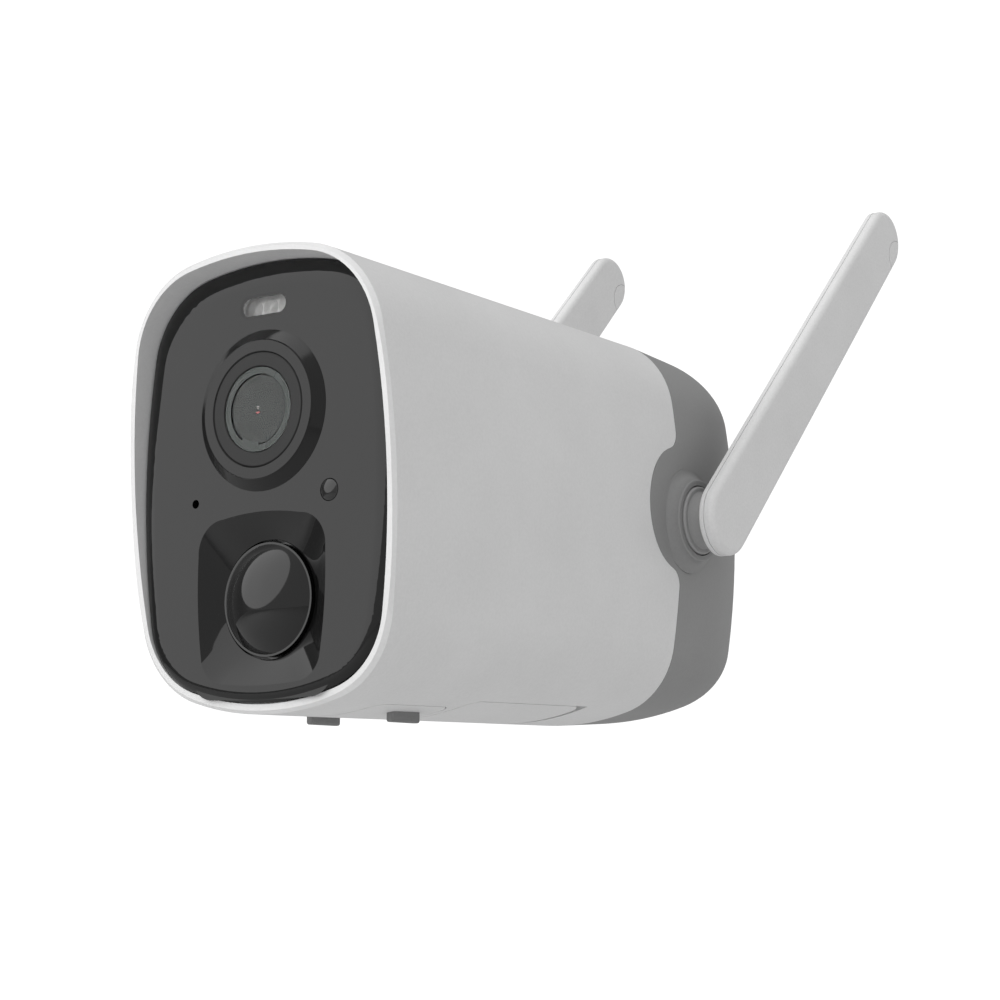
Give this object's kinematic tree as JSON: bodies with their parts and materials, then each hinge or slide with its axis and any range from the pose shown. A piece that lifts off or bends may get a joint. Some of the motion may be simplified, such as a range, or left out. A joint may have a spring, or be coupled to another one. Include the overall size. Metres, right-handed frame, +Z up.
{
  "type": "security camera",
  "caption": "Bullet-style battery security camera: hooded shell, black face with lens and motion-sensor dome, folding paddle antennas, ports under a hinged cover, bracket thread at the back.",
  "frame": {"origin": "mouth of the bracket thread, at the middle of the rear cap's back face", "axes": "+Y out of the back along the bracket thread's axis, so the lens looks along -Y; +X to the side of the daylight sensor; +Z up"},
  "size_m": [0.088, 0.2044, 0.1365],
  "materials": {
    "shell_white": "fine satin grain",
    "antenna_grey": "fine grain",
    "cap_grey": "fine grain",
    "face_black": "glossy",
    "lens_black": "satin",
    "cover_glass": "coated",
    "lens_glass": "polished",
    "led_clear": "ribbed",
    "dome_dark": "glossy",
    "ir_filter": "coated",
    "sensor_glass": "glossy",
    "rubber_grey": "matte",
    "rubber_black": "matte",
    "frame_black": "satin",
    "white_inner": "satin",
    "board_green": "solder mask",
    "chip_black": "moulded",
    "led_yellow": "phosphor",
    "steel": "plated",
    "brass": "turned",
    "copper": "plain",
    "cell_wrap": "shrink sleeve over metal can",
    "lead_black": "smooth sleeve"
  },
  "bodies": {
    "camera": {"battery_cell_left": "cell_wrap", "battery_cell_right": "cell_wrap", "board_chips": "chip_black", "card_socket": "steel", "cell_contacts": "steel", "cell_cradle": "frame_black", "coax_leads": "lead_black", "face_gasket": "rubber_black", "face_panel": "face_black", "feet": "rubber_grey", "front_board": "board_green", "front_screws": "steel", "front_sensors": "steel", "front_shell": "shell_white", "hinge_pin": "steel", "hub_bushes": "brass", "image_sensor": "sensor_glass", "inner_frame": "frame_black", "led_window": "led_clear", "leds": "led_yellow", "lens_barrel": "lens_black", "lens_bezel": "face_black", "lens_cover_glass": "cover_glass", "lens_front_element": "lens_glass", "lens_holder": "lens_black", "lens_trim_ring": "lens_black", "light_sensor_window": "led_clear", "main_board": "board_green", "mount_insert": "brass", "pir_dome": "dome_dark", "pir_retainer": "frame_black", "pir_sensor": "steel", "port_bay": "white_inner", "port_board": "board_green", "rear_cap": "cap_grey", "rear_gasket": "rubber_black", "rear_screws": "steel", "sensor_board": "board_green", "service_hatch": "shell_white", "shield_cans": "steel", "speaker": "frame_black", "switches": "chip_black", "usb_connector": "steel"},
    "antenna_right": {"antenna_right_element": "copper", "antenna_right_hub": "antenna_grey", "antenna_right_nut": "brass", "antenna_right_thick_half": "antenna_grey", "antenna_right_thin_half": "antenna_grey"},
    "antenna_left": {"antenna_left_element": "copper", "antenna_left_hub": "antenna_grey", "antenna_left_nut": "brass", "antenna_left_thick_half": "antenna_grey", "antenna_left_thin_half": "antenna_grey"},
    "cover": {"port_cover": "shell_white", "cover_seal": "rubber_black"},
    "power_key": {"power_button": "rubber_grey"},
    "reset_key": {"reset_button": "rubber_grey"},
    "card": {"memory_card": "chip_black"},
    "shuttle": {"ir_shuttle": "lens_black", "ir_filter_pane": "ir_filter"}
  },
  "joints": [
    {"name": "antenna_right_fold", "type": "hinge", "parent": "camera", "child": "antenna_right", "pos_m": [0.0356, -0.034, 0.0009], "axis": [1, 0, 0], "range_deg": [-44, 135]},
    {"name": "antenna_left_fold", "type": "hinge", "parent": "camera", "child": "antenna_left", "pos_m": [-0.0356, -0.034, 0.0009], "axis": [1, 0, 0], "range_deg": [-44, 135]},
    {"name": "port_cover_hinge", "type": "hinge", "parent": "camera", "child": "cover", "pos_m": [0, -0.063, -0.0412], "axis": [1, 0, 0], "range_deg": [0, 90]},
    {"name": "power_press", "type": "slide", "parent": "camera", "child": "power_key", "axis": [0, 0, 1], "range_m": [0, 0.0005], "stiffness_N_per_m": 300, "springref_m": -0.001},
    {"name": "reset_press", "type": "slide", "parent": "camera", "child": "reset_key", "axis": [0, 0, 1], "range_m": [0, 0.0005], "stiffness_N_per_m": 300, "springref_m": -0.001},
    {"name": "card_eject", "type": "slide", "parent": "camera", "child": "card", "axis": [0, 0, -1], "range_m": [0, 0.003]},
    {"name": "ir_filter_slide", "type": "slide", "parent": "camera", "child": "shuttle", "axis": [1, 0, 0], "range_m": [0, 0.0065]}
  ]
}
